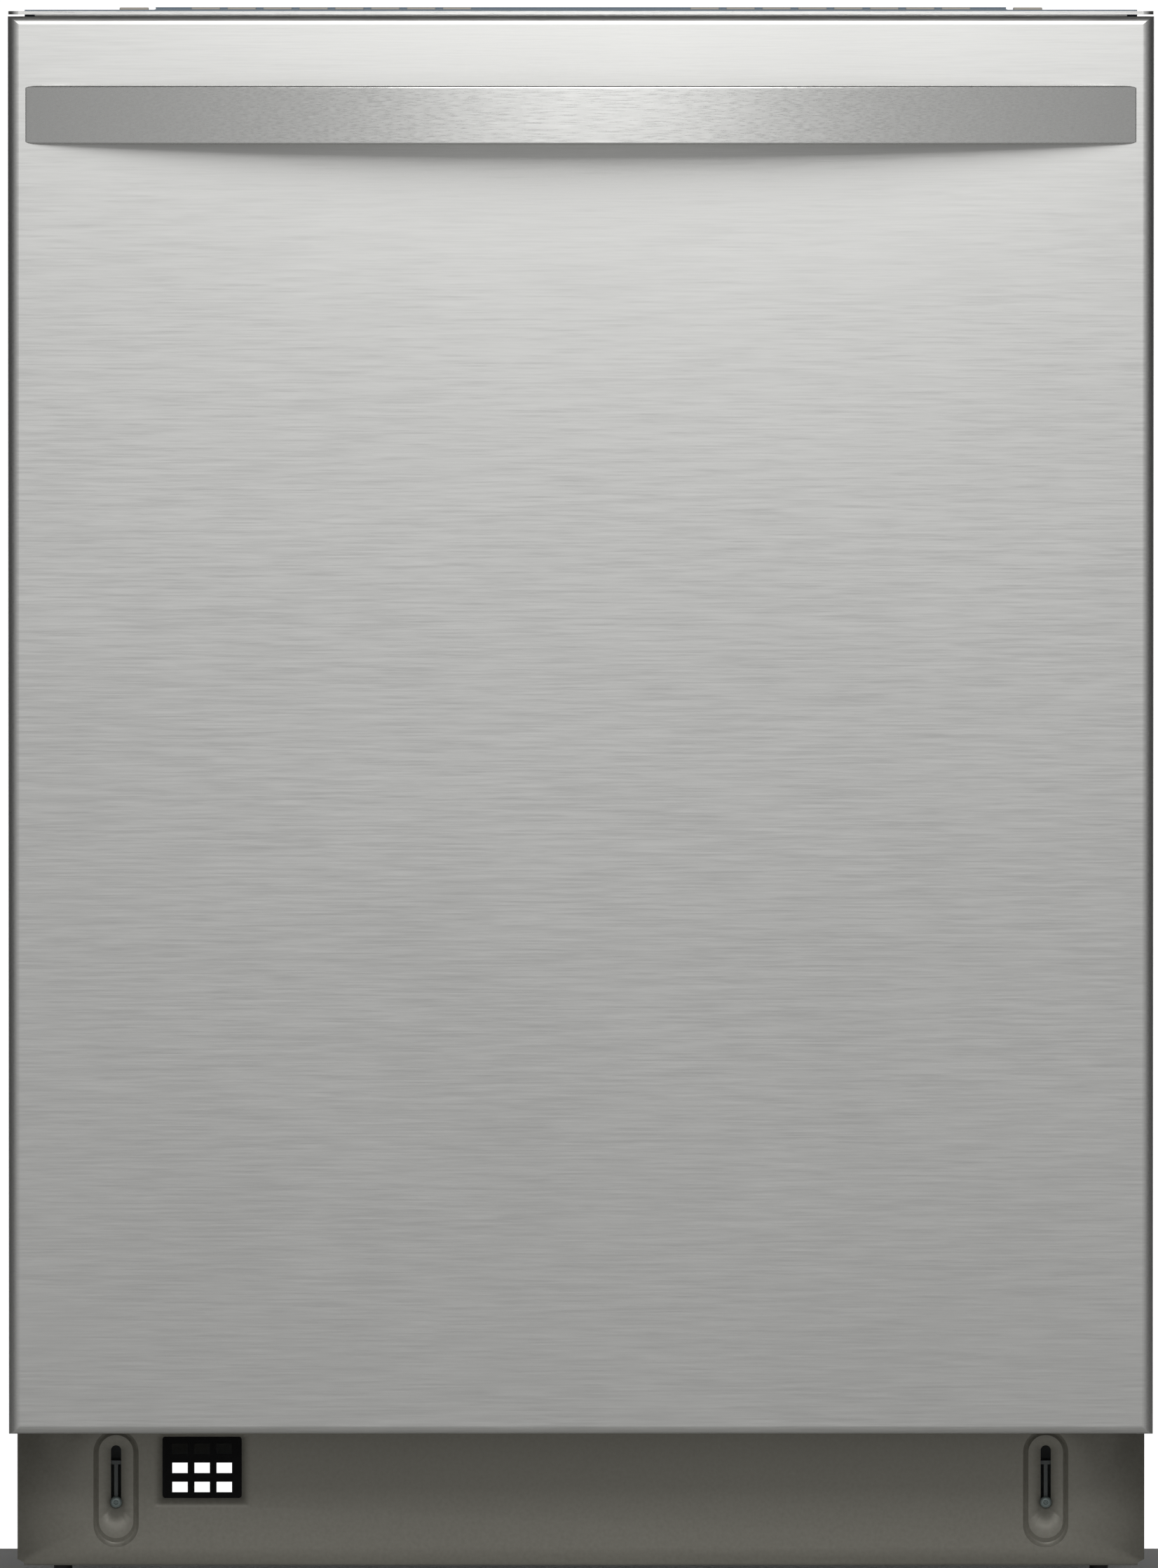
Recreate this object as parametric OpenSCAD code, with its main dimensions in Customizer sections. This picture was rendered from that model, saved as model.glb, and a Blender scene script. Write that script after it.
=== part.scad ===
/* [Overall] */
// Width of the door, the widest piece
door_w = 606; // [520:1:730]
// Height from the floor to the rim of the console
total_h = 860; // [840:5:1040]
// Depth of the body from the door face to the back
body_d = 622; // [520:2:760]

/* [Door] */
// Height of the skin's lower edge over the floor
skin_low = 105.2; // [95:0.2:126]
// Sheet thickness of the outer skin
skin_t = 1; // [0.8:0.1:1.5]
// Edge radius of the outer skin
skin_r = 6; // [4:0.5:9]
// How far the rim of the console stands over the skin
console_rise = 4.8; // [4:0.2:8]
// How far the handle bows out from the door
handle_bow = 45; // [30:1:60]
// Height of the handle bar
handle_h = 31; // [22:1:40]
// Thickness of the handle bar
handle_t = 5; // [4:0.5:7]
// How far each end of the handle bar stops short of the door's side
handle_inset = 8.75; // [5:0.25:60]

/* [Controls] */
// Width of one key cap
key_w = 15.2; // [10:0.2:17]
// Distance from one key to the next
key_pitch = 19; // [18:0.5:21]
// Keys in each half of the console
keys_side = 9; // [4:1:9]
// Travel of a key
key_travel = 1; // [0.5:0.1:1.5]

/* [Tub] */
// Sheet thickness of the tub
tub_t = 1; // [0.8:0.1:2]
// Corner radius of the tub
tub_r = 28; // [15:1:40]
// Height of the tub floor over the room floor
tub_floor = 166; // [160:1:180]

/* [Racks] */
// Wire thickness of the rack rims
rim_d = 6; // [4:0.5:8]
// Wire thickness of the rack floors
wire_d = 4; // [3:0.5:5]
// Radius of the lower rack wheels
wheel_r = 17; // [12:0.2:21]
// Height of the track that the lower rack rolls on
track_h = 15; // [12:0.5:20]

/* [Water and power] */
// Outside radius of the water inlet thread
inlet_r = 13.2; // [10:0.1:16]
// Radius of the drain port
port_r = 9.5; // [8:0.5:12]
// Radius of the hole for the cable gland
gland_r = 11; // [8:0.5:14]
// Radius of a screw hole in a worktop bracket
bolt_r = 2.5; // [1.5:0.1:3.5]

/* [Base] */
// How far the kick plate stops short of the door's side
kick_inset = 3; // [2:0.5:50]
// Height of the kick plate's lower edge over the floor
kick_bot = 31; // [20:0.5:36]
// Width of a slot in the kick plate
slot_w = 5.4; // [5:0.2:8]
// Width of the vent opening
vent_w = 42.2; // [41:0.2:60]
// How far the kick plate stands behind the door face
kick_setback = 66; // [55:1:70]
// Radius of a levelling foot
foot_r = 17; // [12:1:22]

/* [Hidden] */
$fn = 40;
gap = 0.5;        // clearance between pieces that don't touch
run = 0.05;       // radial running clearance of a pin in its hole
yf = -(body_d + handle_bow) / 2 + handle_bow; // door face
yb = yf + body_d;                             // back of the body
skin_top = total_h - console_rise;
skin_bot = skin_low;
handle_len = door_w - 2 * handle_inset;
kick_w = door_w - 2 * kick_inset;
skin_back = 28;                // depth of the skin's folded sides
liner_y = yf + 58;             // inner face of the door
pivot_y = yf + 32;             // hinge axis
pivot_z = skin_bot + 46.8;
pin_r = 4;                     // hinge pin
hinge_x = door_w / 2 - 33;     // hinge centre line
frame_y = liner_y + 3;         // front of the tub's frame
body_w = door_w - 8;           // width of the tub's frame
frame_t = 1.5;
frame_top = total_h - 14;
tub_w = door_w - 58;           // inside width of the tub
tub_top = total_h - 32;        // inside height of the tub
tub_y0 = frame_y + 1.5;        // front of the tub
tub_y1 = yb - 28;              // inside of the tub's back wall
tub_mid_y = (tub_y0 + tub_y1) / 2;
base_y0 = yf + 86;             // front of the base frame
base_h = 50;                   // underside of the base frame
sump_r = 88;
sump_y = tub_mid_y - 6;
arm_r = 205;                   // reach of a spray arm
console_z = skin_top + 1;      // underside of the trim strip
console_d = 51;                // depth of the console
mid_w = door_w - 155;          // raised middle of the console
key_d = 14;
key_h = 5;
first_key = key_pitch * 3.45;  // centre of the innermost key
insul_t = 8;

// A block from corner a to corner b
module slab(a, b) { translate(a) cube([b[0] - a[0], b[1] - a[1], b[2] - a[2]]); }
// The same piece on the left and the right
module both() { children(); mirror([1, 0, 0]) children(); }
// A rod of radius r along X, Y or Z from point p
module rod_x(p, r, l) { translate(p) rotate([0, 90, 0]) cylinder(r = r, h = l); }
module rod_y(p, r, l) { translate(p) rotate([-90, 0, 0]) cylinder(r = r, h = l); }
module rod_z(p, r, l) { translate(p) cylinder(r = r, h = l); }
// A rectangle with round corners, as four true arcs
module round_rect(w, h, r) {
    union() {
        square([w - 2 * r, h], center = true);
        square([w, h - 2 * r], center = true);
        for (x = [-1, 1], y = [-1, 1]) translate([x * (w / 2 - r), y * (h / 2 - r)]) circle(r = r);
    }
}
// Outline of the door seen from above: round at its two front corners
module door_plan(w, d, r) {
    translate([-w / 2 + r, 0]) square([w - 2 * r, d]);
    translate([-w / 2, r]) square([w, d - r]);
    for (x = [-1, 1]) translate([x * (w / 2 - r), r]) circle(r = r);
}
// A door-shaped block with its front edges rounded
module door_block(w, d, z0, z1, r) {
    intersection() {
        translate([0, 0, z0]) linear_extrude(z1 - z0) door_plan(w, d, r);
        translate([0, 0, (z0 + z1) / 2]) rotate([0, 90, 0])
            translate([0, 0, -w / 2]) linear_extrude(w) door_plan(z1 - z0, d, r * 0.7);
    }
}

/* ---- Door ---- */
console_w = door_w - 17.5;     // width of the console
console_y = yf + 14;           // front of the console
console_low = skin_top - 44;   // underside of the console
liner_w = door_w - 20;
liner_z0 = pivot_z + 12;
liner_z1 = skin_top - 8;
key_y = console_y + 6;
key_top = total_h - 0.1;
disp_z = tub_floor + 250;      // underside of the dispenser
disp_w = 190;
disp_h = 130;
disp_x = 40;                   // its centre
latch_z = (tub_top + 7 + frame_top) / 2;
handle_z = skin_top - 52;      // centre of the handle
handle_r = (pow(handle_len / 2, 2) + pow(handle_bow, 2)) / (2 * handle_bow);
// Centre of key n, counted from the left; the outermost one skips a place
function key_place(k) = first_key + key_pitch * (k == 9 ? 9 : k - 1);
function key_x(n) = n > keys_side ? key_place(n - keys_side) : -key_place(keys_side + 1 - n);

module door_skin() {
    lip = 16;
    color("silver") difference() {
        translate([0, yf, 0]) door_block(door_w, skin_back, skin_bot, skin_top, skin_r);
        translate([0, yf + skin_t, 0])
            door_block(door_w - 2 * skin_t, skin_back - 2 * skin_t, skin_bot + skin_t,
                skin_top - skin_t, skin_r - skin_t);
        slab([-door_w / 2 + lip, yf + 15, skin_bot + lip], [door_w / 2 - lip, yf + 40, skin_top - lip]);
        // room for the console at the top and for the hinge brackets at the bottom
        slab([-console_w / 2 - 1, yf + 10, console_low - 2], [console_w / 2 + 1, yf + 40, skin_top + 1]);
        both() slab([hinge_x - 9, yf + 8, skin_bot - 1], [hinge_x + 11, yf + 40, skin_bot + lip + 1]);
    }
}
module liner_pan(z0, z1, y0, t) {
    difference() {
        slab([-liner_w / 2, y0, z0], [liner_w / 2, liner_y, z1]);
        slab([-liner_w / 2 + t, y0 - 1, z0 + t], [liner_w / 2 - t, liner_y - t, z1 - t]);
    }
}
module door_liner() {
    low_y = yf + skin_back + gap;
    high_y = yf + console_d + 1;
    color("lightsteelblue") difference() {
        union() {
            liner_pan(liner_z0, console_low - 3, low_y, 1);
            liner_pan(console_low - 4, liner_z1, high_y, 1);
        }
        slab([-liner_w / 2 + 1, high_y - 1, console_low - 20],
            [liner_w / 2 - 1, liner_y - 1, console_low + 20]);
        slab([-14, yf + 40, latch_z - 5], [14, liner_y + 1, latch_z + 5]);
        both() slab([hinge_x - 14, low_y - 1, liner_z0 - 1], [hinge_x + 4, pivot_y + 8, liner_z0 + 1.5]);
        slab([disp_x - disp_w / 2, yf + 40, disp_z], [disp_x + disp_w / 2, liner_y + 1, disp_z + disp_h]);
    }
}
module door_handle() {
    color("gainsboro") translate([0, 0, handle_z - handle_h / 2]) linear_extrude(handle_h)
        intersection() {
            translate([0, yf - handle_bow + handle_r]) difference() {
                circle(r = handle_r, $fn = 720);
                circle(r = handle_r - handle_t, $fn = 720);
            }
            translate([-door_w / 2, yf - handle_bow - 1]) square([door_w, handle_bow + 1]);
        }
}
module trim_strip() {
    w = door_w - 0.4;
    color("gainsboro") {
        translate([0, yf + 2, console_z]) linear_extrude(1.8) door_plan(w, 11.5, 5.5);
        slab([-w / 2 + 14, yf + 11, console_z - 12], [w / 2 - 14, yf + 13.5, console_z + 0.5]);
    }
}
module console() {
    shoulder = key_top - key_travel - 0.2;
    back_y = yf + console_d;
    color("slategray") difference() {
        union() {
            slab([-console_w / 2, console_y, console_low], [console_w / 2, back_y - 12, shoulder]);
            slab([-mid_w / 2, console_y, console_low], [mid_w / 2, back_y, shoulder + 0.2]);
            slab([-mid_w / 2, back_y - 4, console_low], [mid_w / 2, back_y, total_h]);
        }
        slab([-console_w / 2 + 3, console_y + 3, console_low - 1],
            [console_w / 2 - 3, back_y - 15, shoulder - 3]);
        for (n = [1 : 2 * keys_side])
            slab([key_x(n) - key_w / 2 - 0.4, key_y - 0.4, shoulder - 5],
                [key_x(n) + key_w / 2 + 0.4, key_y + key_d + 0.4, total_h + 1]);
    }
}
module key_cap(n) {
    color("tan") {
        slab([key_x(n) - key_w / 2, key_y, key_top - key_h],
            [key_x(n) + key_w / 2, key_y + key_d, key_top]);
        slab([key_x(n) - 3, key_y + 4, key_top - key_h - 6], [key_x(n) + 3, key_y + 10, key_top - key_h]);
    }
}
module door_latch() {
    color("dimgray") {
        slab([-22, liner_y - 5, latch_z - 5], [22, liner_y - 1.5, latch_z + 5]);
        slab([-12, liner_y - 2, latch_z - 3], [12, liner_y + 13, latch_z + 3]);
    }
}
module dispenser() {
    x0 = disp_x - disp_w / 2 + gap;
    x1 = disp_x + disp_w / 2 - gap;
    y0 = liner_y - 24;
    y1 = liner_y + 2;
    color("dimgray") difference() {
        slab([x0, y0, disp_z + gap], [x1, y1, disp_z + disp_h - gap]);
        slab([disp_x - 80, y0 + 3, disp_z + 30], [disp_x - 20, y1 + 1, disp_z + 100]);
        translate([disp_x + 58, y1 - 10, disp_z + 65]) rotate([-90, 0, 0]) cylinder(r = 18, h = 12);
    }
}
module detergent_lid() {
    color("gray")
        slab([disp_x - 84, liner_y + 2 + gap, disp_z + 26], [disp_x - 16, liner_y + 6, disp_z + 104]);
}
module rinse_cap() {
    color("royalblue") {
        rod_y([disp_x + 58, liner_y - 7, disp_z + 65], 18 - run, 12);
        slab([disp_x + 44, liner_y + 5, disp_z + 62], [disp_x + 72, liner_y + 8, disp_z + 68]);
    }
}
module hinge_arms() {
    arm_up = pivot_z + 190;
    color("darkgray") both() difference() {
        union() {
            rod_x([hinge_x - 2, pivot_y, pivot_z], 10, 4);
            slab([hinge_x - 2, pivot_y - 10, pivot_z], [hinge_x + 2, pivot_y + 6, arm_up]);
            slab([hinge_x - 12, pivot_y, liner_z0 + 12], [hinge_x + 2, liner_y - 1, arm_up]);
        }
        rod_x([hinge_x - 20, pivot_y, pivot_z], pin_r + run, 40);
    }
}

/* ---- Tub and base ---- */
tub_back = tub_y1 + tub_t;
tub_h = tub_top - tub_floor;
tub_mid_z = (tub_top + tub_floor) / 2;
frame_bot = pivot_z + 6;
kick_y = yf + kick_setback;
corner_reach = norm([pivot_y - yf, pivot_z - skin_bot]); // sweep of the door's lower edge
kick_top = min(pivot_z - sqrt(pow(corner_reach, 2) - pow(kick_y - pivot_y, 2)) - 2, skin_bot - 0.5);
kick_t = 1.5;
slot_x = kick_w / 2 - 52.5;
screw_z = kick_bot + 33.8;
vent_x = 98.3 - kick_w / 2;
vent_z = kick_bot + 35.9;
foot_x = body_w / 2 - foot_r - 5;
foot_front = base_y0 + foot_r + 20;
foot_back = yb - foot_r - 20;
pump_z = base_h + 58;          // centre of the pumps
port_x = -sump_r - 60;         // centre of the drain port
inlet_x = port_x - 77;         // centre of the water inlet
inlet_z = base_h + 38;
inlet_len = 16;                // length of the inlet thread
gland_x = body_w / 2 - 94;     // centre of the cable gland
gland_z = base_h + 30;
bracket_x = door_w / 2 - 123;  // centre of a worktop bracket

// A round-cornered tube or block that runs along Y, centred on the tub
module tub_form(w, h, r, y0, y1) {
    translate([0, y0, tub_mid_z]) rotate([-90, 0, 0]) linear_extrude(y1 - y0) round_rect(w, h, r);
}
module tub_shell() {
    color("lightgray") difference() {
        tub_form(tub_w + 2 * tub_t, tub_h + 2 * tub_t, tub_r + tub_t, tub_y0, tub_back);
        tub_form(tub_w, tub_h, tub_r, tub_y0 - 1, tub_y1);
        rod_z([0, sump_y, tub_floor - 10], sump_r, 20);
    }
}
module tub_frame() {
    color("silver") difference() {
        slab([-body_w / 2, frame_y, frame_bot], [body_w / 2, frame_y + frame_t, frame_top]);
        tub_form(tub_w, tub_h, tub_r, frame_y - 1, frame_y + 5);
        slab([-20, frame_y - 1, latch_z - 5], [20, frame_y + 5, latch_z + 5]);
    }
}
module door_gasket() {
    color("dimgray") difference() {
        tub_form(tub_w + 16, tub_h + 14, tub_r + 7, liner_y + gap, frame_y);
        tub_form(tub_w + 2, tub_h + 2, tub_r + 1, liner_y - 1, frame_y + 1);
        slab([-body_w, liner_y - 1, 0], [body_w, frame_y + 1, tub_floor + 12]);
    }
}
module insulation_blanket() {
    outer = tub_w + 2 * tub_t + 2 * insul_t;
    color("darkslategray") difference() {
        tub_form(outer, tub_h + 2 * tub_t + 2 * insul_t, tub_r + insul_t, tub_y0 + 20, tub_back + insul_t);
        tub_form(tub_w + 2 * tub_t + gap, tub_h + 2 * tub_t + gap, tub_r + tub_t, tub_y0, tub_back + gap);
        slab([-body_w, tub_y0, 0], [body_w, yb + 1, tub_floor + 30]);
    }
}
module base_frame() {
    side = body_w / 2;
    rail_top = tub_floor - 12;
    color("gray") {
        both() {
            slab([side - 2, base_y0, base_h], [side, yb, rail_top]);
            slab([side - 44, base_y0, base_h], [side - 2, yb, base_h + 2]);
            // hinge bracket with its pin
            slab([hinge_x + 3, pivot_y - 7, pivot_z - 9], [hinge_x + 7, base_y0 + 30, pivot_z + 4]);
            slab([hinge_x + 7, base_y0 + 10, pivot_z - 9], [side - 2, base_y0 + 30, pivot_z + 2]);
            rod_x([hinge_x - 5, pivot_y, pivot_z], pin_r, 10);
            // T-shaped tab behind each slot of the kick plate
            slab([slot_x - 1, kick_y + kick_t + gap, screw_z - 5], [slot_x + 1, base_y0 + 1, screw_z + 22]);
            slab([slot_x - 3, kick_y + kick_t + gap, screw_z + 20], [slot_x + 3, base_y0 + 1, screw_z + 22]);
        }
        difference() {
            slab([-side + 2, base_y0, base_h], [side - 2, base_y0 + 2, kick_top]);
            slab([vent_x - vent_w / 2, base_y0 - 1, vent_z],
                [vent_x + vent_w / 2, base_y0 + 3, kick_top + 1]);
        }
        difference() {
            slab([-side + 2, yb - 2, base_h], [side - 2, yb, rail_top]);
            rod_y([port_x, yb - 5, pump_z], port_r + 6.5, 10);
            rod_y([inlet_x, yb - 5, inlet_z], inlet_r + 9, 10);
            rod_y([gland_x, yb - 5, gland_z], gland_r + 5, 10);
        }
        for (y = [tub_y0 + 60, tub_y1 - 80])
            difference() {
                slab([-side + 2, y, rail_top - 12], [side - 2, y + 20, tub_floor - tub_t]);
                both() slab([tub_w / 2 - tub_r - 4, y - 1, rail_top], [side, y + 21, tub_floor + 1]);
            }
    }
}
module levelling_feet() {
    color("dimgray") both() for (y = [foot_front, foot_back]) {
        rod_z([foot_x, y, 0], foot_r, 8);
        rod_z([foot_x, y, 8], 5, base_h - 8);
    }
}
module kick_plate() {
    slot_len = 33;
    color("dimgray") difference() {
        union() {
            slab([-kick_w / 2, kick_y, kick_bot], [kick_w / 2, kick_y + kick_t, kick_top]);
            slab([-kick_w / 2 + 3, kick_y, kick_bot], [kick_w / 2 - 3, kick_y + 12, kick_bot + kick_t]);
        }
        both() translate([slot_x, kick_y - 1, screw_z]) rotate([-90, 0, 0]) linear_extrude(4) union() {
            circle(r = slot_w / 2);
            translate([-slot_w / 2, -slot_len + slot_w]) square([slot_w, slot_len - slot_w]);
            translate([0, -slot_len + slot_w]) circle(r = slot_w / 2);
        }
        slab([vent_x - vent_w / 2, kick_y - 1, vent_z], [vent_x + vent_w / 2, kick_y + 3, kick_top - 5]);
    }
}
module kick_screws() {
    color("silver") both() {
        rod_y([slot_x, kick_y - 2, screw_z], 3.15, 1.7);
        rod_y([slot_x, kick_y - 0.5, screw_z], 2, kick_t + 0.5 + gap);
    }
}
module vent_grille() {
    color("black") difference() {
        slab([vent_x - vent_w / 2 - 3, kick_y + kick_t, vent_z - 4],
            [vent_x + vent_w / 2 + 3, kick_y + kick_t + 2, kick_top - 1]);
        for (i = [-1, 0, 1], k = [0, 1, 2])
            slab([vent_x + 11.8 * i - 4.1, kick_y, vent_z + 3 + 10.2 * k],
                [vent_x + 11.8 * i + 4.1, kick_y + 6, vent_z + 8.6 + 10.2 * k]);
    }
}
module worktop_brackets() {
    color("silver") both() difference() {
        slab([bracket_x - 15, frame_y, frame_top], [bracket_x + 15, frame_y + 30, frame_top + 1.5]);
        rod_z([bracket_x, frame_y + 20, frame_top - 5], bolt_r, 12);
    }
}
module door_springs() {
    x = body_w / 2 - 9;
    y = base_y0 + 40;
    color("silver") both() for (i = [0 : 15]) rod_z([x, y, tub_floor + 30 + 8 * i], i % 2 == 0 ? 6 : 4, 8);
}

/* ---- Water path ---- */
hub_z = tub_floor + 14;
filter_y = sump_y + 42;
sump_z = base_h + 46;          // underside of the sump
sump_t = 4;                    // floor of the sump
filter_z = sump_z + 8;         // underside of the filter
filter_r = 34;
module sump() {
    color("dimgray") {
        difference() {
            rod_z([0, sump_y, sump_z], sump_r - gap, tub_floor - sump_z);
            rod_z([0, sump_y, sump_z + sump_t], sump_r - gap - 3, tub_floor);
        }
        rod_z([0, sump_y - 40, sump_z + sump_t], 14, hub_z - sump_z - sump_t);
        rod_z([0, sump_y - 40, hub_z], 7, 17);
    }
}
module filter() {
    color("slategray") difference() {
        rod_z([0, filter_y, filter_z], filter_r, tub_floor + 2 - filter_z);
        rod_z([0, filter_y, filter_z + 6], filter_r - 3, tub_floor);
    }
}
module float() { color("white") rod_z([74 - tub_w / 2, tub_y0 + 55, tub_floor + 1], 15, 24); }
module circulation_pump() {
    color("dimgray") {
        rod_x([sump_r + 4, sump_y, pump_z], 34, 90);
        rod_x([sump_r - gap, sump_y, pump_z], 12, 4 + gap);
    }
}
module drain_pump() {
    color("gray") {
        rod_x([-sump_r - 84, sump_y, pump_z], 26, 80);
        rod_x([-sump_r - 4, sump_y, pump_z], 10, 4 + gap);
        rod_y([port_x, sump_y + 20, pump_z], port_r - 1.5, yb - sump_y - 44);
        rod_y([port_x, yb - 24, pump_z], port_r, 24);
    }
}
module heating_element() {
    color("silver") translate([0, sump_y, tub_floor + 7])
        rotate_extrude() translate([150, 0]) circle(r = 4);
}
module feed_pipe() {
    y = tub_y1 - 12;
    color("gray") {
        rod_z([0, y, tub_floor], 9, tub_h - 16);
        rod_y([0, tub_mid_y, tub_top - 16], 9, y - tub_mid_y);
        rod_z([0, tub_mid_y, tub_top - 42], 6, 30);
        rod_z([0, tub_mid_y, tub_top - 46], 9, 4);
    }
}
module inlet_valve() {
    color("brown") {
        slab([inlet_x - 25, yb - 70, inlet_z - 22], [inlet_x + 25, yb - 20, inlet_z + 22]);
        rod_y([inlet_x, yb - 20, inlet_z], inlet_r, inlet_len);
    }
}
module junction_box() {
    color("silver") difference() {
        slab([gland_x - 35, base_y0 + 20, gland_z - 20], [gland_x + 35, base_y0 + 90, gland_z + 20]);
        slab([gland_x - 33, base_y0 + 22, gland_z - 18], [gland_x + 33, base_y0 + 88, gland_z + 18]);
        rod_y([gland_x, base_y0 + 80, gland_z], gland_r, 20);
    }
}
module spray_arm(y, z, reach, bore) {
    translate([0, y, z]) difference() {
        union() {
            cylinder(r = 20, h = 10);
            linear_extrude(10) round_rect(2 * reach, 40, 19.9);
        }
        translate([0, 0, -1]) cylinder(r = bore, h = 12);
    }
}
module lower_arm() { color("gray") spray_arm(sump_y - 40, hub_z + 2, arm_r - 10, 7 + run); }
module middle_arm() { color("gray") spray_arm(tub_mid_y, mid_arm_z, arm_r, 6 + run); }
module top_arm() { color("gray") spray_arm(tub_mid_y, tub_top - 40, arm_r - 25, 6 + run); }

/* ---- Racks ---- */
rack_y0 = liner_y + 35;
rack_y1 = tub_y1 - 28;
low_x = tub_w / 2 - 38;        // half width of the lower rack
low_z = tub_floor + 56;
low_h = 150;
up_x = tub_w / 2 - 32;
up_z = tub_floor + 300;
up_h = 150;
rail_z = up_z + 96;
tray_z = tub_top - 116;
tray_rail_z = tray_z - 14;
mid_arm_z = up_z - 24;
axle_z = tub_floor + track_h + 0.6 + wheel_r;
wheel_x = low_x + 14;
front_axle_y = rack_y0 + 90;
rear_axle_y = rack_y1 - 90;
tine_y = rack_y0 + 150;
tine_x0 = -low_x + 20;
tine_step = 30;
basket_x = low_x - 186;         // left side of the cutlery basket

// A rim of round wire in the XY plane
module rim(hx, y0, y1, z, d) {
    for (y = [y0, y1]) rod_x([-hx, y, z], d / 2, 2 * hx);
    both() rod_y([hx, y0, z], d / 2, y1 - y0);
    both() for (y = [y0, y1]) translate([hx, y, z]) sphere(r = d / 2);
}
// A wire basket: floor, rims and uprights
module wire_basket(hx, y0, y1, z, h, nx, ny) {
    dx = 2 * hx / nx;
    dy = (y1 - y0) / ny;
    rim(hx, y0, y1, z, rim_d);
    rim(hx, y0, y1, z + h, rim_d);
    for (i = [1 : nx - 1]) rod_y([-hx + dx * i, y0, z], wire_d / 2, y1 - y0);
    for (i = [0 : nx], y = [y0, y1]) rod_z([-hx + dx * i, y, z], wire_d / 2, h);
    for (i = [1 : ny - 1]) both() rod_z([hx, y0 + dy * i, z], wire_d / 2, h);
    for (i = [1 : ny - 1]) rod_x([-hx, y0 + dy * i, z], wire_d / 2, 2 * hx);
}
module wheel_stub(x, y) {
    slab([x - 12, y - 6, axle_z - 8], [x - 8, y + 6, low_z + 4]);
    rod_x([x - 9, y, axle_z], 4, 14);
}
module lower_rack() {
    color("lightslategray") {
        wire_basket(low_x, rack_y0, rack_y1, low_z, low_h, 8, 6);
        both() for (y = [front_axle_y, rear_axle_y]) wheel_stub(wheel_x, y);
    }
}
module wheel_pair(y) {
    color("gray") both() difference() {
        rod_x([wheel_x - 6, y, axle_z], wheel_r, 10);
        rod_x([wheel_x - 8, y, axle_z], 4 + run, 14);
    }
}
module front_wheels() { wheel_pair(front_axle_y); }
module rear_wheels() { wheel_pair(rear_axle_y); }
module lower_tines() {
    color("lightslategray") {
        rod_x([tine_x0, tine_y, low_z + 8], 2.5, 9 * tine_step);
        for (i = [0 : 9]) rod_z([tine_x0 + tine_step * i, tine_y, low_z + 8], 1.8, 85);
    }
}
module cutlery_basket() {
    color("gray") difference() {
        slab([basket_x, rack_y0 + 12, low_z + 5], [basket_x + 170, rack_y0 + 92, low_z + 105]);
        slab([basket_x + 3, rack_y0 + 15, low_z + 8], [basket_x + 167, rack_y0 + 89, low_z + 110]);
    }
}
module rack_rails() {
    x = tub_w / 2;
    color("silver") both() {
        slab([x - 34, tub_y0 + 6, tub_floor], [x - 30, tub_y1 - 12, tub_floor + track_h]);
        slab([x - 34, tub_y0 + 6, tub_floor + track_h - 4], [x - 14, tub_y1 - 12, tub_floor + track_h]);
        slab([x - 18, tub_y0 + 6, rail_z], [x, tub_y1 - 12, rail_z + 16]);
        slab([x - 18, tub_y0 + 6, tray_rail_z - 10], [x, tub_y1 - 12, tray_rail_z]);
    }
}
module runner(hx, z) {
    slab([hx - 2, rack_y0, z], [tub_w / 2 - 3, rack_y1, z + 4]);
}
module upper_rack() {
    color("lightslategray") {
        wire_basket(up_x, rack_y0, rack_y1, up_z, up_h, 8, 6);
        both() runner(up_x, rail_z + 16.5);
        rod_z([0, tub_mid_y, mid_arm_z - 2], 6, up_z - mid_arm_z + 3);
        rod_z([0, tub_mid_y, mid_arm_z - 6], 9, 4.5);
        slab([-20, tub_mid_y - 50, up_z - 1], [20, tub_mid_y + 50, up_z + 3]);
    }
}
module cup_shelf() {
    x = -up_x + 12;
    color("lightslategray") {
        rod_y([x, rack_y0 + 40, up_z + 80], 3, 300);
        for (i = [0 : 9]) rod_x([x, rack_y0 + 55 + 30 * i, up_z + 80], 2, 90);
        rod_y([x + 90, rack_y0 + 40, up_z + 80], 3, 300);
    }
}
module cutlery_tray() {
    color("lightslategray") {
        difference() {
            slab([-up_x, rack_y0, tray_z], [up_x, rack_y1, tray_z + 32]);
            slab([-up_x + 3, rack_y0 + 3, tray_z + 3], [up_x - 3, rack_y1 - 3, tray_z + 40]);
        }
        both() runner(up_x, tray_rail_z + 0.5);
        both() slab([up_x - 3, rack_y0, tray_rail_z + 0.5], [up_x, rack_y1, tray_z + 1]);
    }
}

door_skin();
door_liner();
door_handle();
trim_strip();
console();
door_latch();
dispenser();
detergent_lid();
rinse_cap();
hinge_arms();
door_springs();
tub_shell();
tub_frame();
door_gasket();
insulation_blanket();
base_frame();
levelling_feet();
kick_plate();
kick_screws();
vent_grille();
worktop_brackets();
sump();
filter();
float();
circulation_pump();
drain_pump();
heating_element();
feed_pipe();
inlet_valve();
junction_box();
lower_arm();
middle_arm();
top_arm();
lower_rack();
front_wheels();
rear_wheels();
lower_tines();
cutlery_basket();
rack_rails();
upper_rack();
cup_shelf();
cutlery_tray();
for (n = [1 : 2 * keys_side]) key_cap(n);
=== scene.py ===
"""Looks of a built-in dishwasher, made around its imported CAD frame."""

import logging
import math
from dataclasses import dataclass, field
from enum import Enum

import bmesh
import bpy
from mathutils import Matrix, Vector


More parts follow.
